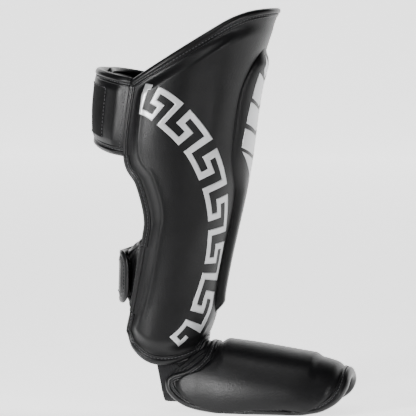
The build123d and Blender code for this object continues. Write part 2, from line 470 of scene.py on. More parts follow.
@dataclass
class Sheet:
    """A four-sided sheet laid on a form: rows run across it and columns along the stations.

    The start and end rims are drawn in the side view. A gate is positive past the first or the
    last edge, which is looked for between the pivot and that end of the sweep.
    """

    form: LegForm | FootForm
    start: Reader
    end: Reader
    first: Gate
    last: Gate
    sweep: tuple[float, float]
    pivot: float = 0.0
    columns: int = 121
    rows: int = 121

    def __post_init__(self) -> None:
        """Work out the angle, the station and the run of each grid point."""
        self.table = np.radians(np.linspace(min(self.sweep), max(self.sweep), 241))
        self.starts, self.ends = self.rim(self.start), self.rim(self.end)
        u, v = np.linspace(0, 1, self.columns), np.linspace(0, 1, self.rows)
        self.u, self.v = np.meshgrid(u, v)
        near, far = self.edge(self.first, self.sweep[0]), self.edge(self.last, self.sweep[1])
        self.angle = near[:, None] * (1 - self.u) + far[:, None] * self.u
        self.station = self.station_at(self.angle, self.v)
        base = self.lay(0.0)
        self.from_first, self.to_last = self.runs(base, 1)
        self.from_start, self.to_end = self.runs(base, 0)

    def rim(self, curve: Reader) -> Array:
        """Find the station where each angle of the table meets a rim.

        Args:
            curve: The rim's station in the side view.

        Returns:
            One station for each angle.
        """

        def gap(station: Array) -> Array:
            """Return how far a station is past the rim."""
            spot = self.form.point(self.table, station, 0.0)
            return station - curve(self.form.across(spot))

        zero = 0 * self.table
        return solve(gap, zero + self.form.lowest, zero + self.form.highest)

    def station_at(self, angle: Array, share: Array) -> Array:
        """Find the station at a share of the way between the rims.

        Args:
            angle: Angles in radians.
            share: 0 at the start and 1 at the end.

        Returns:
            The station of each entry.
        """
        low = np.interp(angle, self.table, self.starts)
        high = np.interp(angle, self.table, self.ends)
        return low + (high - low) * share

    def edge(self, gate: Gate, far: float) -> Array:
        """Find the angle where each row meets a gate.

        Args:
            gate: The gate.
            far: The angle at which the search ends.

        Returns:
            One angle for each row.
        """
        v = self.v[:, 0]

        def angle_at(share: Array) -> Array:
            """Return the angle at a share of the way from the pivot."""
            return np.radians(self.pivot + (far - self.pivot) * share)

        def gap(share: Array) -> Array:
            """Read the gate on each row.

            Args:
                share: Share of the way from the pivot.

            Returns:
                The gate's value.
            """
            angle = angle_at(share)
            spot = self.form.point(angle, self.station_at(angle, v), 0.0)
            return gate(spot[:, 0], spot[:, 1], spot[:, 2], v)

        return angle_at(solve(gap, 0 * v, 0 * v + 1))

    @staticmethod
    def runs(points: Array, axis: int) -> Pair:
        """Measure the distance to both ends of each grid line.

        Args:
            points: Grid positions.
            axis: 0 along columns, 1 along rows.

        Returns:
            Distances from the beginning and to the end.
        """
        steps = np.linalg.norm(np.diff(points, axis=axis), axis=-1)
        shape = list(steps.shape)
        shape[axis] = 1
        total = np.concatenate([np.zeros(shape), np.cumsum(steps, axis=axis)], axis=axis)
        return total, total.take([-1], axis=axis) - total

    def rim_distance(self) -> Array:
        """Return each grid point's distance to the nearest of the four edges."""
        return np.minimum(
            np.minimum(self.from_first, self.to_last), np.minimum(self.from_start, self.to_end))

    def lay(self, depth: Array | float) -> Array:
        """Return the grid's positions at a depth."""
        return self.form.point(self.angle, self.station, depth + 0 * self.u)


def back_to(edge: Reader) -> Gate:
    """Make a gate that ends a sheet at a rear edge, given as x for each height."""
    return lambda x, y, z, v: edge(z) - x


def down_to(level: float) -> Gate:
    """Make a gate that ends a sheet at a level on its way down."""
    return lambda x, y, z, v: level - z


def cells_round(*corners: Cell) -> list[Cell]:
    """List the grid points on straight runs from corner to corner.

    Args:
        *corners: Row and column of each corner, in order.

    Returns:
        Row and column of each point, with no corner twice in a row.
    """
    cells = [corners[0]]
    for (row, column), (next_row, next_column) in zip(corners, corners[1:]):
        tall, wide = next_row - row, next_column - column
        steps = max(abs(tall), abs(wide))
        cells += [
            (row + tall * k // steps, column + wide * k // steps) for k in range(1, steps + 1)]
    return cells


def grid_normals(grid: Array) -> Array:
    """Return unit normals of a grid, across the rows and columns."""
    return unit(np.cross(np.gradient(grid, axis=1), np.gradient(grid, axis=0)))


# ---- making pieces


def make_piece(
    name: str, points: Array, faces: Sequence[Sequence[int]], finish: Finish
) -> Piece:
    """Make one mesh piece.

    Args:
        name: The piece's name.
        points: Vertices in millimetres.
        faces: Vertex indices of each face.
        finish: The finish it is dressed in.

    Returns:
        The new object.
    """
    mesh = bpy.data.meshes.new(name)
    mesh.from_pydata((np.asarray(points).reshape(-1, 3) * MM).tolist(), [], faces)
    mesh.validate()
    mesh.polygons.foreach_set("use_smooth", [True] * len(mesh.polygons))
    mesh.materials.append(finish.make())
    piece = bpy.data.objects.new(name, mesh)
    bpy.context.scene.collection.objects.link(piece)
    LOG.info("made %s: %d faces", name, len(mesh.polygons))
    return piece


def grid_cells(rows: int, columns: int) -> Array:
    """List the four corners of each cell of a grid.

    Args:
        rows: Number of rows of points.
        columns: Number of points in each row.

    Returns:
        Vertex indices, one row for each cell.
    """
    index = np.arange(rows * columns).reshape(rows, columns)
    corners = (index[:-1, :-1], index[:-1, 1:], index[1:, 1:], index[1:, :-1])
    return np.stack(corners, -1).reshape(-1, 4)


def make_slab(name: str, top: Array, bottom: Array, finish: Finish) -> Piece:
    """Make a closed sheet from an outer and an inner grid.

    Args:
        name: The piece's name.
        top: Outer grid.
        bottom: Inner grid, of the same size.
        finish: The finish.

    Returns:
        The new object.
    """
    rows, columns = top.shape[:2]
    index = np.arange(rows * columns).reshape(rows, columns)
    outside = grid_cells(rows, columns)
    inside = outside[:, ::-1] + index.size
    loop = np.concatenate([index[0], index[1:, -1], index[-1, -2::-1], index[-2:0:-1, 0]])
    below = loop + index.size
    walls = np.stack([loop, below, np.roll(below, -1), np.roll(loop, -1)], -1)
    points = np.concatenate([top.reshape(-1, 3), bottom.reshape(-1, 3)])
    return make_piece(name, points, np.vstack([outside, inside, walls]).tolist(), finish)


def tube_faces(rings: int, size: int, base: int = 0) -> list[tuple[int, ...]]:
    """List the faces of a tube that is closed at both ends.

    Args:
        rings: Number of rings.
        size: Points in each ring.
        base: Index of the first point.

    Returns:
        Vertex indices of each face.
    """
    last = base + (rings - 1) * size
    faces: list[tuple[int, ...]] = []
    for low in range(base, last, size):
        for k in range(size):
            m = (k + 1) % size
            faces.append((low + k, low + m, low + size + m, low + size + k))
    faces.append(tuple(range(base, base + size))[::-1])
    faces.append(tuple(range(last, last + size)))
    return faces


def make_sweep(name: str, rings: Array, finish: Finish) -> Piece:
    """Make a solid from closed rings along a path, one row of points for each ring."""
    return make_piece(name, rings, tube_faces(*rings.shape[:2]), finish)


def make_film(
    name: str, cells: set[Cell], place: Callable[[Array, Array], Pair]
) -> Piece:
    """Make a thin printed film from filled lattice cells.

    Args:
        name: The piece's name.
        cells: Filled cells.
        place: Gives the outer and inner position of lattice corners.

    Returns:
        The film.
    """
    corners = sorted({(s + i, w + j) for s, w in cells for i in (0, 1) for j in (0, 1)})
    index = {corner: k for k, corner in enumerate(corners)}
    grid = np.array(corners, float)
    outer, inner = place(grid[:, 0], grid[:, 1])
    count = len(corners)
    faces = []
    for s, w in sorted(cells):
        quad = [index[s, w], index[s + 1, w], index[s + 1, w + 1], index[s, w + 1]]
        faces.append(tuple(quad))
        faces.append(tuple(k + count for k in quad[::-1]))
        for k, neighbour in enumerate(((s, w - 1), (s + 1, w), (s, w + 1), (s - 1, w))):
            if neighbour not in cells:
                p, q = quad[k], quad[(k + 1) % 4]
                faces.append((q, p, p + count, q + count))
    return make_piece(name, np.concatenate([outer, inner]), faces, SILVER)


@dataclass
class RimPath:
    """A path along a sheet's rim: its outside, its inside and the way in from the rim."""

    outside: Array
    inside: Array
    normal: Array
    inward: Array

    @classmethod
    def along(cls, top: Array, bottom: Array, cells: list[Cell]) -> "RimPath":
        """Follow border points of a sheet.

        Args:
            top: Outer grid.
            bottom: Inner grid.
            cells: Row and column of each border point, in order.

        Returns:
            The path.
        """
        picked = tuple(np.array(cells).T)
        outside, inside = top[picked], bottom[picked]
        normal = grid_normals(top)[picked]
        normal = normal * np.sign(np.sum(normal * (outside - inside), -1, keepdims=True))
        inward = np.cross(normal, unit(np.gradient(outside, axis=0)))
        centre = top[top.shape[0] // 2, top.shape[1] // 2]
        probe = len(cells) // 2
        if np.dot(inward[probe], centre - outside[probe]) < 0:
            inward = -inward
        return cls(outside, inside, normal, inward)

    def resampled(self, spacing: float = 2.0) -> "RimPath":
        """Space the path's points evenly.

        Args:
            spacing: Distance between points.

        Returns:
            The new path.
        """
        run = run_of(self.outside)
        at = np.linspace(0, run[-1], max(2, int(round(run[-1] / spacing)) + 1))
        outside, inside, normal, inward = (
            read_at(at, run, values)
            for values in (self.outside, self.inside, self.normal, self.inward))
        return RimPath(outside, inside, unit(normal), unit(inward))

    def spot(self, reach: float, rise: float, bend: float = 60.0) -> Array:
        """Return points at a distance in from the rim and a height over the outside."""
        fall = reach * reach / (2 * bend)
        return self.outside + self.inward * reach + self.normal * (rise - fall)

    def under(self, reach: float, rise: float) -> Array:
        """Return points at a distance in from the rim and a height over the inside."""
        return self.inside + self.inward * reach - self.normal * rise

    def groove(self) -> Array:
        """Return the line of the stitches, in the groove of the tape."""
        return self.spot(4.75, 0.5)


@dataclass(frozen=True)
class BindingTape:
    """A tape folded over a rim. The profile gives reach from the rim and rise over the face."""

    profile: tuple = (
        (7.8, -0.5), (7.7, 0.6), (7.3, 1.15), (6.7, 1.15), (6.0, 0.55), (5.2, 0.2), (4.3, 0.2),
        (3.6, 0.5), (3.0, 1.15), (2.4, 1.4), (1.7, 1.15), (0.8, 1.0), (0.0, 0.7),
    )
    fold_steps: int = 8
    fold_reach: float = 2.2
    fold_swell: float = 1.05

    def fold(self, name: str, rim: RimPath) -> Piece:
        """Fold the tape over a rim.

        Args:
            name: The piece's name.
            rim: The rim.

        Returns:
            The tape.
        """
        path = rim.resampled()
        rings = [path.spot(reach, rise) for reach, rise in self.profile]
        across = path.inside - path.outside
        thick = np.linalg.norm(across, axis=-1, keepdims=True)
        centre = (path.outside + path.inside) / 2
        for step in range(1, self.fold_steps):
            turn = math.pi * step / self.fold_steps
            fall = across / thick * (thick / 2) * math.cos(turn) * self.fold_swell
            rings.append(centre - fall - path.inward * self.fold_reach * math.sin(turn))
        rings += [path.under(reach, rise) for reach, rise in self.profile[::-1]]
        return make_sweep(name, np.stack(rings, 1), TAPE)


@dataclass(frozen=True)
class Stitching:
    """A row of separate stitches, each a thin capsule that dips at both ends."""

    pitch: float = 3.8
    length: float = 2.6
    width: float = 0.85
    sides: int = 6
    tip: float = 0.5
    swell: tuple = (0.25, 0.85, 1.0, 0.85, 0.25)
    lifts: tuple = (-0.25, 0.05, 0.15, 0.05, -0.25)

    def sew(self, name: str, line: Array, normals: Array) -> Piece:
        """Sew the row along a line.

        Args:
            name: The piece's name.
            line: The line.
            normals: The surface normal at each point.

        Returns:
            The stitches, as one piece.
        """
        run = run_of(line)
        vertices: list[Array] = []
        faces: list[tuple[int, ...]] = []
        for middle in np.arange(self.pitch / 2, run[-1], self.pitch):
            half = self.length / 2
            first, centre, last = read_at([middle - half, middle, middle + half], run, line)
            normal = unit(read_at([middle], run, normals)[0])
            along = unit(last - first)
            side = np.cross(normal, along)
            faces += tube_faces(len(self.swell), self.sides, len(vertices))
            near, far = first + along * self.tip, last - along * self.tip
            for spot, share, lift in zip(
                (first, near, centre, far, last), self.swell, self.lifts
            ):
                for k in range(self.sides):
                    turn = math.tau * k / self.sides
                    ring = side * math.cos(turn) + normal * math.sin(turn)
                    vertices.append(spot + ring * self.width / 2 * share + normal * lift)
        return make_piece(name, np.array(vertices), faces, THREAD)


BINDING = BindingTape()
STITCHING = Stitching()


class PaddedPanel:
    """A padded, lined and bound sheet. A subclass lays it and joins its pieces: the shell and the
    foot cover fix them to their moving bodies, and a wing only bakes them in place.
    """

    sheet: Sheet
    skin: float

    def shape(self) -> None:
        """Lay the two faces."""
        self.outer = self.sheet.lay(self.outer_depth())
        self.inner = self.sheet.lay(self.inner_depth())

    def make_layers(
        self, names: tuple[str, str], nodes: Sequence[str], lining_node: str, fill: float
    ) -> None:
        """Make the padded cover and the lining under it.

        Args:
            names: Names of the cover and the lining.
            nodes: The frame's nodes that the cover stands for.
            lining_node: The frame's node that the lining stands for.
            fill: How full the padding is; not used.
        """
        depth = self.inner_depth() - self.skin
        cover = make_slab(names[0], self.outer, self.sheet.lay(depth), LEATHER)
        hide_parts(*nodes)
        self.join(cover)
        lining = make_slab(names[1], self.sheet.lay(depth + 0.1), self.inner, LINING)
        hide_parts(lining_node)
        self.join(lining)

    def bind(self, tape_name: str, stitches_name: str, node: str, cells: list[Cell]) -> None:
        """Fold a tape over a rim and sew it down.

        Args:
            tape_name: The tape's name.
            stitches_name: The name of its stitches.
            node: The frame's node that the tape stands for.
            cells: Row and column of each border point, in order.
        """
        path = RimPath.along(self.outer, self.inner, cells)
        tape = BINDING.fold(tape_name, path)
        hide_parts(node)
        self.join(tape)
        self.join(STITCHING.sew(stitches_name, path.groove(), path.normal))


# ---- the leg shell


@dataclass
class LegShell(PaddedPanel):
    """The curved shell over the shin and calf: cover, lining, binding tapes and seams."""

    leg: LegForm
    top_rim: Points = (
        (-110, 328), (-82, 344), (-27, 375), (4, 392.5), (32, 408), (56, 416), (90, 418))
    bottom_rim: Points = (
        (-120, 96), (-99, 82), (-90, 67), (-68, 54), (-42, 51.5), (-22, 58), (-12, 74), (20, 100))
    rear_edge: Points = (
        (-100, 60), (-99, 84), (-93, 106), (-76, 176), (-71, 203), (-79, 237), (-93, 266),
        (-82, 344), (-74, 400))
    sweep: float = 172.0
    flange_depth: float = 6.5
    front_flange_depth: float = 1.2
    rim_thickness: float = 9.5
    least_wall: float = 8.5
    panel_from: float = 11.0
    panel_rise_run: float = 15.0
    ridge_height: float = 0.9
    ridge_from_rear: float = 25.0
    wave_height: float = 0.35
    valley_depth: float = 1.9
    valley_angle: float = 59.0
    skin: float = 1.2
    lower_seam: tuple[float, float] = (104, 176)
    cutout: tuple[float, float] = (174, 268)
    upper_seam: tuple[float, float] = (266, 341)
    welt: Points = (
        (-1.6, -2.5), (-1.5, 0.2), (-0.7, 1.0), (0.2, 1.25), (1.1, 0.9), (1.9, 0.25),
        (2.7, 0.3), (3.4, 0.85), (4.2, 1.05), (5.0, 0.7), (5.6, -0.6), (2.0, -2.5))

    def __post_init__(self) -> None:
        """Lay the sheet and shape its two faces."""
        behind = back_to(reader(self.rear_edge, 1, 0))
        self.sheet = Sheet(
            self.leg, reader(self.bottom_rim), reader(self.top_rim), behind, behind,
            (-self.sweep, self.sweep), columns=241, rows=221)
        self.last_row, self.last_column = self.sheet.rows - 1, self.sheet.columns - 1
        self.shape()

    def outer_depth(self) -> Array:
        """Shape the outside: a thin flange round the rims and a crowned panel inside it.

        Returns:
            Depth of each grid point under the form.
        """
        s = self.sheet
        turn = np.abs(np.degrees(s.angle))
        side = ease((turn - 14) / 40)
        flange = self.front_flange_depth + (self.flange_depth - self.front_flange_depth) * side
        rise = np.ones_like(s.u)
        for edge in (s.from_first, s.to_last, s.from_start * 1.05, s.to_end * 0.95):
            rise = rise * ease((edge - self.panel_from) / self.panel_rise_run)
        from_rear = np.minimum(s.from_first, s.to_last)
        ridge = self.ridge_height * bell(from_rear, self.ridge_from_rear, 4.0)
        ridge = ridge * ease((s.from_start - 20) / 20) * ease((s.to_end - 20) / 30)
        waves = self.wave_height * np.sin(np.abs(s.angle) * 9 + s.station * 0.021)
        waves = waves * np.sin(s.station * 0.045 + 1.1)
        high = ease((s.station - 235) / 70) * ease((s.to_end - 18) / 30)
        valley = self.valley_depth * bell(turn, self.valley_angle, 10) * high
        return flange * (1 - rise) - ridge + (valley - waves) * rise

    def inner_depth(self) -> Array:
        """Shape the inside: full wall inside the panel, and the thin rim at the edge.

        Returns:
            Depth of each grid point under the form.
        """
        rim = self.outer_depth() + self.rim_thickness
        wall = self.leg.wall(self.sheet.station)
        inside = ease((self.sheet.rim_distance() - 2) / 22)
        full = rim + (np.maximum(wall, rim) - rim) * inside
        return np.minimum(full, np.maximum(wall, self.least_wall))

    def drop(self, angle: Array, station: Array) -> Pair:
        """Drop points onto the shell's outside.

        Args:
            angle: Angles round the leg in radians.
            station: Heights.

        Returns:
            Points just over and just under the surface.
        """
        lift, sink, reach, usual_depth = 0.25, 0.4, 60.0, 1.0
        outside, inside = -25.0, 10.0
        tree = BVHTree.FromPolygons(
            self.outer.reshape(-1, 3).tolist(), grid_cells(*self.outer.shape[:2]).tolist())
        over, below = [], []
        for origin, target in zip(
            self.leg.point(angle, station, outside), self.leg.point(angle, station, inside)
        ):
            ray = unit(target - origin)
            hit, normal, _, _ = tree.ray_cast(Vector(origin), Vector(ray), reach)
            spot = np.array(hit) if hit else target - ray * (inside - usual_depth)
            facing = np.array(normal) if hit else -ray
            facing = facing * -np.sign(np.dot(facing, ray))
            over.append(spot + facing * lift)
            below.append(spot - facing * sink)
        return np.array(over), np.array(below)

    def join(self, piece: Piece) -> None:
        """Fix a piece to the shell."""
        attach(piece, Body.SHELL.value)

    def make(self) -> None:
        """Make the shell's pieces."""
        nodes = (
            "shin_cover", "shin_outer_foam", "shin_inner_foam", "side_foam_right",
            "side_foam_left")
        self.make_layers(("leg_shell_cover", "leg_shell_lining"), nodes, "shin_lining", 0.8)
        self.make_bindings()
        self.make_seams()

    def rear_cells(self, column: int, low: float, high: float) -> list[Cell]:
        """Return a rear edge's border points between two heights, from the bottom up."""
        height = self.outer[:, column, 2]
        return [(r, column) for r in range(self.sheet.rows) if low <= height[r] <= high]

    def make_bindings(self) -> None:
        """Bind the top rim, both rear cut-outs and the bottom rim."""
        foot = (0, self.lower_seam[0])
        bottom = self.rear_cells(0, *foot)[::-1]
        bottom += [(0, c) for c in range(1, self.last_column)]
        bottom += self.rear_cells(self.last_column, *foot)
        top = cells_round((self.last_row, 0), (self.last_row, self.last_column))
        right = self.rear_cells(0, *self.cutout)
        left = self.rear_cells(self.last_column, *self.cutout)
        jobs = {
            "top_rim_tape": (top, "shin_top_binding"),
            "bottom_rim_tape": (bottom, "shin_bottom_binding"),
            "right_cutout_tape": (right, "side_binding_right"),
            "left_cutout_tape": (left, "side_binding_left"),
        }
        for name, (cells, node) in jobs.items():
            self.bind(name, f"{name}_stitches", node, cells)

    def make_seams(self) -> None:
        """Lay a double welt along each seam that joins a wing."""
        seams = {"upper": self.upper_seam, "lower": self.lower_seam}
        for level, limits in seams.items():
            for side, column in (("right", 0), ("left", self.last_column)):
                cells = self.rear_cells(column, *limits)
                path = RimPath.along(self.outer, self.inner, cells).resampled()
                rings = np.stack([path.spot(reach, rise) for reach, rise in self.welt], 1)
                self.join(make_sweep(f"{level}_{side}_seam_welt", rings, TAPE))


@dataclass
class FrontBar:
    """The raised bar down the shin, wide over the calf and narrow above the ankle.

    The outline gives height and half width. Each arrowhead of the mark gives its top, its
    height and its half width above and below.
    """

    shell: LegShell
    rise: float = 7.6
    sink: float = 1.6
    bed_depth: float = 3.5
    outline: Points = (
        (98, 4), (103, 6), (114, 7.5), (150, 8.5), (200, 10.5), (226, 14.5), (238, 20),
        (252, 28.5), (268, 34), (300, 35.5), (330, 35), (348, 31.5), (362, 25), (373, 16),
        (380, 7))
    arrowheads: Points = (
        (370, 15, 6, 9), (352, 26, 17, 20), (322, 22, 21, 23), (295, 20, 24, 25), (271, 24, 24, 3))
    arrow_tip: float = 9.0
    arrow_columns: int = 28
    arrow_rows: int = 16

    def __post_init__(self) -> None:
        """Lay the bar's grid."""
        self.half_width = reader(self.outline)
        self.low, self.high = self.outline[0][0], self.outline[-1][0]
        self.u, self.height = np.meshgrid(
            np.linspace(-1, 1, 61), np.linspace(self.low, self.high, 231))

    def angle(self, share: Array, height: Array) -> Array:
        """Return the angle round the leg at a share of the half width."""
        reach = self.half_width(height) / self.shell.leg.half_width(height)
        return np.arcsin(np.clip(reach, -1, 1)) * share

    def depth(self, share: Array, height: Array) -> Array:
        """Crown the bar across its width and let it down at both ends.

        Args:
            share: Share of the half width, from -1 to 1.
            height: Height.

        Returns:
            Depth under the leg's form.
        """
        ends = ease((height - self.low) / 16) * ease((self.high - height) / 22)
        crown = (1 - np.abs(share) ** 3.2) ** 0.62
        return self.sink - (self.rise + self.sink) * crown * (0.12 + 0.88 * ends)

    def make(self) -> None:
        """Make the bar and its silver mark."""
        leg, angle = self.shell.leg, self.angle(self.u, self.height)
        surface = leg.point(angle, self.height, self.depth(self.u, self.height))
        bed = leg.point(angle, self.height, self.bed_depth)
        bar = make_slab("front_bar_cover", surface, bed, LEATHER)
        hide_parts("bar_cover", "bar_foam")
        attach(bar, Body.SHELL.value)
        self.make_mark()

    def place(self, side: Array, height: Array, lift: float) -> Array:
        """Place points over the bar's outside.

        Args:
            side: Distance from the middle.
            height: Height.
            lift: Distance over the surface.

        Returns:
            Positions.
        """
        share = np.clip(side / self.half_width(height), -1, 1)
        depth = self.depth(share, height) - lift
        return self.shell.leg.point(self.angle(share, height), height, depth)

    def make_mark(self) -> None:
        """Print nested arrowheads that point down and end in a tip."""
        columns, rows = self.arrow_columns, self.arrow_rows
        step = rows + 3
        count = len(self.arrowheads)
        cells = {
            (s, number * step + w)
            for number in range(count) for s in range(columns) for w in range(rows)}

        def place(along: Array, down: Array) -> Pair:
            """Place lattice corners over and under the bar's outside.

            Args:
                along: Lattice column.
                down: Lattice row.

            Returns:
                Outer and inner positions.
            """
            number = np.minimum((down // step).astype(int), count - 1)
            share = (down - number * step) / rows
            top, tall, wide, narrow = np.array(self.arrowheads, float)[number].T
            centred = along / columns * 2 - 1
            side = centred * (wide + (narrow - wide) * share)
            height = top - tall * share - self.arrow_tip * (1 - np.abs(centred))
            return self.place(side, height, 0.35), self.place(side, height, -0.3)

        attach(make_film("front_bar_mark", cells, place), Body.SHELL.value)


@dataclass
class KeyBand:
    """A silver band of square keys that sweeps down each side panel.

    The spine gives angle and height at each key, and the widths are read by key number. Cells
    are counted along the band and across it.
    """

    shell: LegShell
    key_count: int = 7
    unit_cells: int = 34
    band_cells: int = 28
    stroke_cells: int = 5
    spine: Points = (
        (123, 319), (99, 326), (79, 311), (57, 279), (40, 236), (29, 189), (27, 141), (41, 90),
        (66, 62))
    widths: Points = ((-1, 31), (2, 31.5), (3, 30), (4, 27.5), (5, 27), (6, 29), (8, 29))

    def cells(self) -> set[Cell]:
        """List the filled cells.

        Returns:
            Column along the band and row across it of each cell.
        """
        n, length, band = self.stroke_cells, self.unit_cells, self.band_cells
        unit_key = (
            (0, n, 0, band), (0, 22 + n, 0, n), (22, 22 + n, 0, 12 + n),
            (12, 22 + n, 12, 12 + n), (12, 12 + n, 12, band), (12, length, band - n, band))
        last_key = (
            (0, n, 0, band), (0, 20 + n, 0, n), (20, 20 + n, 0, 12 + n), (13, 20 + n, 12, 12 + n))
        serif = ((0, n + 2, band - n, band),)
        keys = [unit_key + serif, *[unit_key] * (self.key_count - 2), last_key]
        return {
            (number * length + s, w)
            for number, strokes in enumerate(keys)
            for s0, s1, w0, w1 in strokes
            for s in range(s0, s1) for w in range(w0, w1)}

    def place(self, along: Array, across: Array) -> Pair:
        """Drop lattice corners onto the right side panel.

        Args:
            along: Lattice column.
            across: Lattice row.

        Returns:
            Outer and inner positions.
        """
        leg, level, turn, climb, look = self.shell.leg, 3.0, 0.01, 1, 0.15
        curve = smooth_curve(self.spine)
        share = np.linspace(-1, len(self.spine) - 2, len(curve))
        position = (along - self.stroke_cells / 2) / self.unit_cells
        offset = (across / self.band_cells - 0.5) * reader(self.widths)(position)

        def spine_at(s: Array) -> Pair:
            """Return the spine's angle and height at a key number."""
            return -np.radians(np.interp(s, share, curve[:, 0])), np.interp(s, share, curve[:, 1])

        def on_panel(angle: Array, height: Array) -> Array:
            """Return points of the form just under the panel."""
            return leg.point(angle, height, level)

        angle, height = spine_at(position)
        ahead, behind = spine_at(position + look), spine_at(position - look)
        tangent = unit(on_panel(*ahead) - on_panel(*behind))
        round_step = on_panel(angle + turn, height) - on_panel(angle - turn, height)
        round_step = round_step / (2 * turn)
        up_step = (on_panel(angle, height + climb) - on_panel(angle, height - climb)) / (2 * climb)
        side = np.cross(unit(np.cross(round_step, up_step)), tangent)
        angle_rate = np.sum(side * round_step, -1) / np.sum(round_step**2, -1)
        height_rate = np.sum(side * up_step, -1) / np.sum(up_step**2, -1)
        return self.shell.drop(angle + angle_rate * offset, height + height_rate * offset)

    def place_left(self, along: Array, across: Array) -> Pair:
        """Drop lattice corners onto the left side panel, as a mirror image of the right.

        Args:
            along: Lattice column.
            across: Lattice row.

        Returns:
            Outer and inner positions.
        """
        mirror = np.array([1.0, -1.0, 1.0])
        outer, inner = self.place(along, self.band_cells - across)
        return outer * mirror, inner * mirror

    def make(self) -> None:
        """Print the band on both side panels."""
        cells = self.cells()
        swapped = {(s, self.band_cells - 1 - w) for s, w in cells}
        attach(make_film("right_key_band", cells, self.place), Body.SHELL.value)
        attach(make_film("left_key_band", swapped, self.place_left), Body.SHELL.value)


# ---- the wings


@dataclass
class Wing(PaddedPanel):
    """A padded wing that starts at a rear seam and wraps round behind the calf.

    The reach is how far it goes past the middle, and the lifts of the patch are depths from
    the face that it is sewn to.
    """

    leg: LegForm
    name: str
    body: Body
    side: Side
    seam: Points
    bottom: Points
    top: Points
    reach: float
    depth: float
    thickness: float
    corner: float
    patch: Slot
    patch_columns: tuple[float, float]
    seam_depth: float
    backed: bool = False
    blend_length: float = 14.0
    skin: float = 1.0
    patch_rows: tuple[float, float] = (0.17, 0.83)
    hook_lifts: tuple[float, float] = (-0.2, 0.9)
    loop_lifts: tuple[float, float] = (-0.9, 0.3)
    backing_lifts: tuple[float, float] = (-0.45, 0.5)

    def __post_init__(self) -> None:
        """Lay the wing's sheet and shape its two faces."""
        seam = reader(self.seam, 1, 0)
        sign = self.side.value
        tall = abs(self.top[1][1] - self.bottom[-2][1])

        def ahead(x: Array, y: Array, z: Array, v: Array) -> Array:
            """Open ahead of the seam."""
            return x - seam(z)

        def past_end(x: Array, y: Array, z: Array, v: Array) -> Array:
            """Open past the free end, which has round corners."""
            near = np.clip(1 - np.minimum(v, 1 - v) * tall / self.corner, 0, 1)
            return -sign * y - self.reach + self.corner * (1 - np.sqrt(1 - near**2))

        self.sheet = Sheet(
            self.leg, reader(self.bottom), reader(self.top), ahead, past_end,
            (sign * 75, sign * 285), sign * 150, columns=141, rows=101)
        self.shape()

    def edges(self) -> Array:
        """Return the distance to the nearest bound edge."""
        s = self.sheet
        return np.minimum(np.minimum(s.from_start, s.to_end), s.to_last)

    def outer_depth(self) -> Array:
        """Crown the pad between the bound edges and meet the shell at the seam.

        Returns:
            Depth of each grid point under the form.
        """
        s = self.sheet
        crown = 1.5 * (1 - ease((self.edges() - 6) / 9))
        joined = 1 - ease(s.from_first / 16)
        ripple = 0.25 * np.sin(s.station * 0.11 + s.angle * 5) * ease(self.edges() / 12)
        free = (self.depth + crown) * (1 - joined)
        return free + self.seam_depth * joined - ripple * (1 - joined)

    def wall(self) -> Array:
        """Return the thickness, thinner at the bound edges."""
        return self.thickness - 2.6 * (1 - ease((self.edges() - 5) / 9))

    def inner_depth(self) -> Array:
        """Return the depth of the inside."""
        return self.outer_depth() + self.wall()

    def join(self, piece: Piece) -> None:
        """Bake a piece's transform into its mesh, leaving it on no moving body.

        Args:
            piece: The piece.
        """
        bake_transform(piece)

    def make(self) -> None:
        """Make the wing's pieces."""
        self.make_layers(
            (f"{self.name}_padded_cover", f"{self.name}_cloth"),
            (f"{self.name}_cover", f"{self.name}_pad"), f"{self.name}_lining", 0.7)
        row, column = self.sheet.rows - 1, self.sheet.columns - 1
        self.bind(
            f"{self.name}_edge_tape", f"{self.name}_edge_stitches", f"{self.name}_binding",
            cells_round((0, 0), (0, column), (row, column), (row, 0)))
        along = (slice(3, row - 2), 5)
        outward = grid_normals(self.outer) * self.side.value
        self.join(STITCHING.sew(
            f"{self.name}_seam_stitches", self.outer[along], outward[along]))
        self.make_patch()

    def make_patch(self) -> None:
        """Sew the fastener patch on, with its outline of stitches on the outer face."""
        low, high = (int(self.sheet.rows * share) for share in self.patch_rows)
        left, right = (int(self.sheet.columns * share) for share in self.patch_columns)
        area = (slice(low, high + 1), slice(left, right + 1))
        outer = self.outer_depth()
        if self.patch is Slot.HOOK:
            node, pile, lifts, face_lift = "hook_patch", HOOK, self.hook_lifts, 0.15
            depth = self.inner_depth()
        else:
            node, pile, lifts, face_lift = "loop_patch", LOOP, self.loop_lifts, 1.0
            depth = outer
        top, bottom = (self.sheet.lay(depth + lift)[area] for lift in lifts)
        patch = make_slab(f"{self.name}_{node}_pile", top, bottom, pile)
        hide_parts(f"{self.name}_{node}")
        self.join(patch)
        if self.backed:
            face_lift = 0.5
            over, below = (self.sheet.lay(outer + lift)[area] for lift in self.backing_lifts)
            self.join(make_slab(
                f"{self.name}_patch_backing", over, below, MATTE))
        corners = ((low, left), (low, right), (high, right), (high, left), (low, left))
        picked = tuple(np.array(cells_round(*corners)[:-1]).T)
        face = self.sheet.lay(outer - face_lift)
        normals = grid_normals(face)
        outward = np.sign(np.sum(normals * (self.outer - self.inner), -1, keepdims=True))
        self.join(STITCHING.sew(
            f"{self.name}_patch_stitches", face[picked], (normals * outward)[picked]))


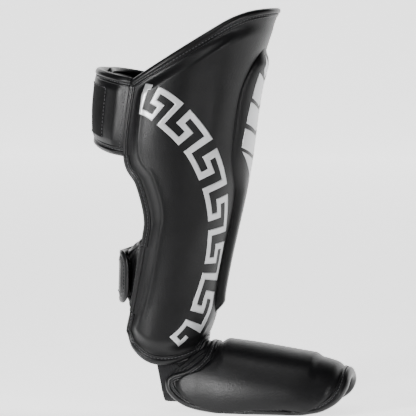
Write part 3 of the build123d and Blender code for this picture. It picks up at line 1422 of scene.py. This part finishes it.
def lay_out_wings(leg: LegForm) -> list[Wing]:
    """Lay out the four wings.

    Args:
        leg: The form they wrap round.

    Returns:
        The wings, each closure's outer one first.
    """
    upper = {
        "leg": leg,
        "seam": ((-98, 230), (-93, 266), (-82, 344), (-77, 380)),
        "top": ((-150, 358), (-145, 357), (-103, 349), (-82, 345), (-60, 340)),
        "bottom": ((-150, 283), (-145, 282), (-118, 273), (-93, 268), (-60, 262)),
    }
    lower = {
        "leg": leg,
        "seam": ((-99, 84), (-93, 106), (-76, 176), (-70, 200)),
        "top": ((-130, 158), (-125, 159.5), (-104, 165), (-90, 173.5), (-76, 179), (-56, 186)),
        "bottom": ((-130, 120), (-125, 119), (-108, 115), (-93, 108), (-70, 100)),
    }
    return [
        Wing(
            **upper, name="upper_flap", body=Body.FLAP, side=Side.RIGHT, reach=42, depth=0.8,
            thickness=7.7, corner=12, patch=Slot.HOOK, patch_columns=(0.22, 0.93),
            seam_depth=5.6, backed=True),
        Wing(
            **upper, name="upper_left_wing", body=Body.LEFT_WING, side=Side.LEFT, reach=20,
            depth=12.4, thickness=7.1, corner=12, patch=Slot.LOOP, patch_columns=(0.40, 0.92),
            seam_depth=6.5),
        Wing(
            **lower, name="lower_strap", body=Body.STRAP, side=Side.LEFT, reach=40, depth=0.7,
            thickness=5.3, corner=16, patch=Slot.HOOK, patch_columns=(0.45, 0.92),
            seam_depth=5.6),
        Wing(
            **lower, name="lower_right_wing", body=Body.RIGHT_WING, side=Side.RIGHT, reach=14,
            depth=9.8, thickness=5.4, corner=12, patch=Slot.LOOP, patch_columns=(0.35, 0.90),
            seam_depth=6.5),
    ]


# ---- the instep guard


@dataclass
class InstepGuard(PaddedPanel):
    """The padded foot cover, with a raised top panel and a bound rim."""

    foot: FootForm = field(default_factory=FootForm)
    rear_rim: Points = (
        (12, 1.2), (-8, 2.2), (-30, 7.5), (-46, 20), (-50, 33), (-44, 40), (-28, 46), (-13, 59),
        (-9, 74), (-7, 100))
    toe_rim: Points = ((92, 1.2), (112, 5), (128, 16), (136, 32), (137.8, 50), (137.8, 100))
    sole_level: float = 1.2
    flange: float = 2.0
    rim_thickness: float = 8.5
    panel_step: float = 2.6
    panel_rise: float = 0.9
    crease_depth: float = 0.9
    skin: float = 1.2

    def __post_init__(self) -> None:
        """Lay the arch and shape its two faces."""
        sole = down_to(self.sole_level)
        self.sheet = Sheet(
            self.foot, reader(self.rear_rim, 1, 0), reader(self.toe_rim, 1, 0), sole, sole,
            (-125, 125), columns=181, rows=161)
        self.shape()

    def outer_depth(self) -> Array:
        """Shape the rim flange, the crowned sides and the raised top panel.

        Returns:
            Depth of each grid point under the form.
        """
        from_rim, x = self.sheet.rim_distance(), self.sheet.station
        rim = self.flange * (1 - ease((from_rim - 7) / 10))
        on_top = 1 - ease((np.abs(np.degrees(self.sheet.angle)) - 30) / 34)
        panel = ease((x - 1) / 9) * ease((108 - x) / 9) * on_top
        crease = self.crease_depth * bell(from_rim, 9.0, 2.2)
        return rim + self.panel_step * (1 - panel) * 0.8 - self.panel_rise * panel + crease

    def inner_depth(self) -> Array:
        """Shape the inside: thin at the rim and full inside it.

        Returns:
            Depth of each grid point under the form.
        """
        rim = self.outer_depth() + self.rim_thickness
        wall = self.foot.wall(self.sheet.station)
        return rim + (np.maximum(wall, rim) - rim) * ease((self.sheet.rim_distance() - 2) / 16)

    def join(self, piece: Piece) -> None:
        """Fix a piece to the foot cover."""
        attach(piece, Body.INSTEP.value)

    def make(self) -> None:
        """Make the foot cover, and bind its rim round from the middle of the rear edge."""
        self.make_layers(
            ("instep_padded_cover", "instep_cloth"),
            ("instep_cover", "instep_top_foam", "instep_base_foam"), "instep_lining", 0.8)
        row, column = self.sheet.rows - 1, self.sheet.columns - 1
        middle = (0, self.sheet.columns // 2)
        cells = cells_round(middle, (0, column), (row, column), (row, 0), (0, 0), middle)
        self.bind("instep_edge_tape", "instep_edge_stitches", "instep_binding", cells)


@dataclass
class AnkleSkirt:
    """A leather fold that closes the gap between the shell's lower rim and the foot cover."""

    guard: InstepGuard
    inset: float = 5.0
    thickness: float = 2.0
    level: float = 40.0
    tuck: float = 6.0

    def make(self) -> None:
        """Make the fold, with shallow wrinkles that follow the ankle's crease."""
        rim = reader(self.guard.rear_rim, 1, 0)

        def upper(z: Array) -> Array:
            """Return the fold's rear edge, inside the shell's lower rim."""
            return rim(z) - 16 + 10 * ease((z - 58) / 14) + 12 * (1 - ease((z - 40) / 8))

        end = down_to(self.level)
        sheet = Sheet(
            self.guard.foot, upper, lambda z: rim(z) + self.tuck, end, end, (-100, 100), rows=31)
        folds = 0.5 * np.sin(sheet.from_start * 0.9 + np.sin(sheet.angle * 3))
        folds = folds * ease(sheet.from_start / 3)
        outer, inner = sheet.lay(self.inset - folds), sheet.lay(self.inset + self.thickness)
        skirt = make_slab("ankle_fold", outer, inner, LEATHER)
        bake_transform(skirt)


@dataclass
class FootBand:
    """An elastic band's U under the foot, with ribs along it.

    The sides are the half widths at the bottom and the top, and the levels are the heights
    there. The rear and front edges are drawn in the side view.
    """

    name: str
    node: str
    sides: tuple[float, float]
    levels: tuple[float, float]
    rear: Points
    front: Points
    thickness: float = 1.8
    bend: float = 15.0
    rib_height: float = 0.12
    rib_count: int = 8

    def path(self) -> Array:
        """Trace the U in the front view.

        Returns:
            Points from the right end to the left end.
        """
        low_side, high_side = self.sides
        bottom, top = self.levels
        knee_z = bottom + (top - bottom) * 0.35
        right = [(-high_side, top), (-low_side - (high_side - low_side) * 0.35, knee_z)]
        turn = [
            (-low_side + self.bend * (1 - math.cos(a)), bottom + self.bend * (1 - math.sin(a)))
            for a in np.linspace(0, math.pi / 2, 6)]
        turn = [(y, z) for y, z in turn if z < knee_z - 1]
        half = smooth_curve([*right, *turn, (-1.0, bottom)], 8)
        return np.vstack([half, half[::-1] * np.array([-1.0, 1.0])])

    def make(self) -> None:
        """Make the band."""
        path = self.path()
        tangent = unit(np.gradient(path, axis=0))
        outward = np.stack([tangent[:, 1], -tangent[:, 0]], -1)
        if outward[len(path) // 2, 1] > 0:
            outward = -outward
        share = np.linspace(0, 1, 33)
        rear, front = (reader(edge, 1, 0)(path[:, 1]) for edge in (self.rear, self.front))
        x = rear[:, None] + (front - rear)[:, None] * share
        ribs = self.rib_height * np.cos(share * math.tau * self.rib_count)[None, :]
        rim = 0.5 * (1 - ease(np.minimum(share, 1 - share) / 0.08))[None, :]

        def face(lift: float, sign: float) -> Array:
            """Make one face of the band.

            Args:
                lift: Height over the path.
                sign: 1 for ribs that stand up and -1 for ribs that go down.

            Returns:
                Positions of the face's grid.
            """
            rise = lift + sign * (ribs - rim)
            y = path[:, :1] + outward[:, :1] * rise
            z = path[:, 1:] + outward[:, 1:] * rise
            return np.stack([x, y + 0 * x, z + 0 * x], -1)

        outer, inner = face(self.thickness, 1.0), face(0.0, -1.0)
        band = make_slab(self.name, outer, inner, ELASTIC)
        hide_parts(self.node)
        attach(band, Body.INSTEP.value)


def lay_out_bands() -> list[FootBand]:
    """Lay out the two bands under the foot, the rear one first."""
    return [
        FootBand(
            "arch_elastic_band", "arch_strap", sides=(27, 33), levels=(9, 52),
            rear=((-56, 4), (-57.5, 24), (-62.5, 54)), front=((-33, 4), (-36, 42), (-44, 54))),
        FootBand(
            "toe_elastic_band", "toe_strap", sides=(36.5, 37), levels=(3, 26),
            rear=((58, 0), (58, 15), (58, 40)), front=((84, 0), (84, 15), (84, 40))),
    ]


@dataclass
class StrapTabs:
    """A small folded tab sewn over each end of the arch band."""

    rear: float = -46.0
    width: float = 9.0
    bottom: float = 24.0
    height: float = 15.0
    taper: float = 0.5
    puff: float = 0.5
    lift: float = 0.2
    sink: float = 0.7

    def make(self) -> None:
        """Make both tabs."""
        across, up = np.meshgrid(np.linspace(0, 1, 13), np.linspace(0, 1, 21))
        z = self.bottom + self.height * up
        x = self.rear - self.taper * up + (self.width - self.taper * up) * across
        y = 27 + (z - 9) / 45 * 6 - 0.4
        swell = self.puff * np.sin(math.pi * across) ** 0.5 * np.sin(math.pi * up) ** 0.5
        for side in Side:
            node = f"arch_strap_tab_{side.name.lower()}"
            outer = np.stack([x, side.value * (y + self.lift), z], -1)
            inner = np.stack([x, side.value * (y - self.sink - swell), z], -1)
            tab = make_slab(f"{node}_fold", outer, inner, TAPE)
            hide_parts(node)
            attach(tab, Body.INSTEP.value)


@dataclass
class AnkleGusset:
    """A thin elastic tongue inside the front of the ankle that joins shell and instep."""

    leg: LegForm
    low: float = 52.0
    high: float = 96.0
    rear: float = -33.0
    gap: float = 1.3
    back: float = 2.4

    def make(self) -> None:
        """Make the tongue."""
        behind = back_to(lambda z: self.rear)
        sheet = Sheet(
            self.leg, lambda x: 0 * x + self.low, lambda x: 0 * x + self.high, behind, behind,
            (-80, 80), columns=61, rows=41)
        wall = self.leg.wall(sheet.station)
        ribs = 0.12 * np.cos(sheet.station * 2.2)
        outer, inner = sheet.lay(wall + self.gap - ribs), sheet.lay(wall + self.back)
        tongue = make_slab("ankle_elastic_tongue", outer, inner, ELASTIC)
        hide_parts("ankle_gusset")
        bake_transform(tongue)


# ---- the studio


@dataclass
class Studio:
    """Floor, lights and camera, in metres, degrees and watts."""

    azimuth: float = 12.0
    elevation: float = 4.0
    distance: float = 3.0
    frame_width: float = 0.4347
    sensor: float = 36.0
    target: tuple[float, float, float] = (-0.0144, 0.0, 0.210)
    lit_point: tuple[float, float, float] = (0.0, 0.0, 0.25)
    half_floor: float = 7.0
    floor_front: float = -6.0
    floor_back: float = 5.0
    cove_radius: float = 1.5
    backdrop_top: float = 6.0
    floor_drop: float = 0.0005
    glow_from: float = -0.30
    glow_to: float = -0.02
    glow: float = 1.9
    world_strength: float = 0.05

    def make(self) -> None:
        """Set the studio up."""
        self.make_floor()
        self.make_lights()
        self.make_camera()

    def paper(self) -> bpy.types.Material:
        """Make white paper that glows behind the guard.

        Returns:
            The material.
        """
        material = bpy.data.materials.new("studio_paper")
        material.use_nodes = True
        tree = material.node_tree
        shader = tree.nodes["Principled BSDF"]
        set_inputs(shader, {
            "Base Color": (0.92, 0.92, 0.92, 1), "Roughness": 0.9,
            "Emission Color": (1, 1, 1, 1)})
        place = add_node(tree, "SeparateXYZ", {}, {"Vector": place_of(tree)})
        limits = {"From Min": self.glow_from, "From Max": self.glow_to, "To Max": self.glow}
        glow = add_node(
            tree, "MapRange", limits, {"Value": place.outputs["Y"]},
            interpolation_type="SMOOTHSTEP")
        tree.links.new(glow.outputs["Result"], shader.inputs["Emission Strength"])
        return material

    def make_floor(self) -> None:
        """Make a pale floor with a curved backdrop."""
        r, back, half = self.cove_radius, self.floor_back, self.half_floor
        profile = [(self.floor_front, 0.0), (back, 0.0)]
        profile += [
            (back + r * math.sin(a), r - r * math.cos(a))
            for a in np.linspace(0.1, math.pi / 2, 12)]
        profile += [(back + r, self.backdrop_top)]
        points = [(x, y, z - self.floor_drop) for y, z in profile for x in (-half, half)]
        faces = [(2 * i, 2 * i + 1, 2 * i + 3, 2 * i + 2) for i in range(len(profile) - 1)]
        mesh = bpy.data.meshes.new("studio_floor")
        mesh.from_pydata(points, [], faces)
        mesh.polygons.foreach_set("use_smooth", [True] * len(mesh.polygons))
        mesh.materials.append(self.paper())
        floor = bpy.data.objects.new("studio_floor", mesh)
        bpy.context.scene.collection.objects.link(floor)

    def make_lights(self) -> None:
        """Hang the soft boxes, each with its place, size and power."""
        world = bpy.data.worlds.new("studio_world")
        bpy.context.scene.world = world
        world.use_nodes = True
        set_inputs(world.node_tree.nodes["Background"], {
            "Color": (1, 1, 1, 1), "Strength": self.world_strength})
        boxes = {
            "left_strip": ((-0.52, -1.0, 0.36), (0.16, 0.36), 16),
            "right_strip": ((0.85, -0.72, 0.36), (0.08, 0.4), 3.0),
            "overhead": ((-0.2, -0.9, 1.9), (0.35, 0.3), 6),
        }
        for name, (place, size, power) in boxes.items():
            light = bpy.data.lights.new(name, "AREA")
            light.shape = "RECTANGLE"
            light.size, light.size_y = size
            light.energy = power
            lamp = bpy.data.objects.new(name, light)
            bpy.context.scene.collection.objects.link(lamp)
            lamp.location = place
            aim = Vector(self.lit_point) - Vector(place)
            lamp.rotation_euler = aim.to_track_quat("-Z", "Y").to_euler()

    def make_camera(self) -> None:
        """Point a long lens at the guard."""
        a, e = math.radians(self.azimuth), math.radians(self.elevation)
        back = Vector((math.sin(a) * math.cos(e), -math.cos(a) * math.cos(e), math.sin(e)))
        data = bpy.data.cameras.new("camera")
        data.sensor_width = self.sensor
        data.lens = self.sensor * self.distance / self.frame_width
        camera = bpy.data.objects.new("camera", data)
        bpy.context.scene.collection.objects.link(camera)
        camera.location = Vector(self.target) + back * self.distance
        camera.rotation_euler = (-back).to_track_quat("-Z", "Y").to_euler()
        bpy.context.scene.camera = camera


def main() -> None:
    """Build the guard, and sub-assembly by sub-assembly."""
    logging.basicConfig(level=logging.INFO, format="%(name)s: %(message)s")
    leg = LegForm()
    shell = LegShell(leg)
    guard = InstepGuard()
    parts = [
        Studio(), shell, FrontBar(shell), KeyBand(shell), *lay_out_wings(leg), guard,
        AnkleSkirt(guard), *lay_out_bands(), StrapTabs(), AnkleGusset(leg)]
    for part in parts:
        LOG.info("building %s", type(part).__name__)
        part.make()


if __name__ == "__main__":
    main()
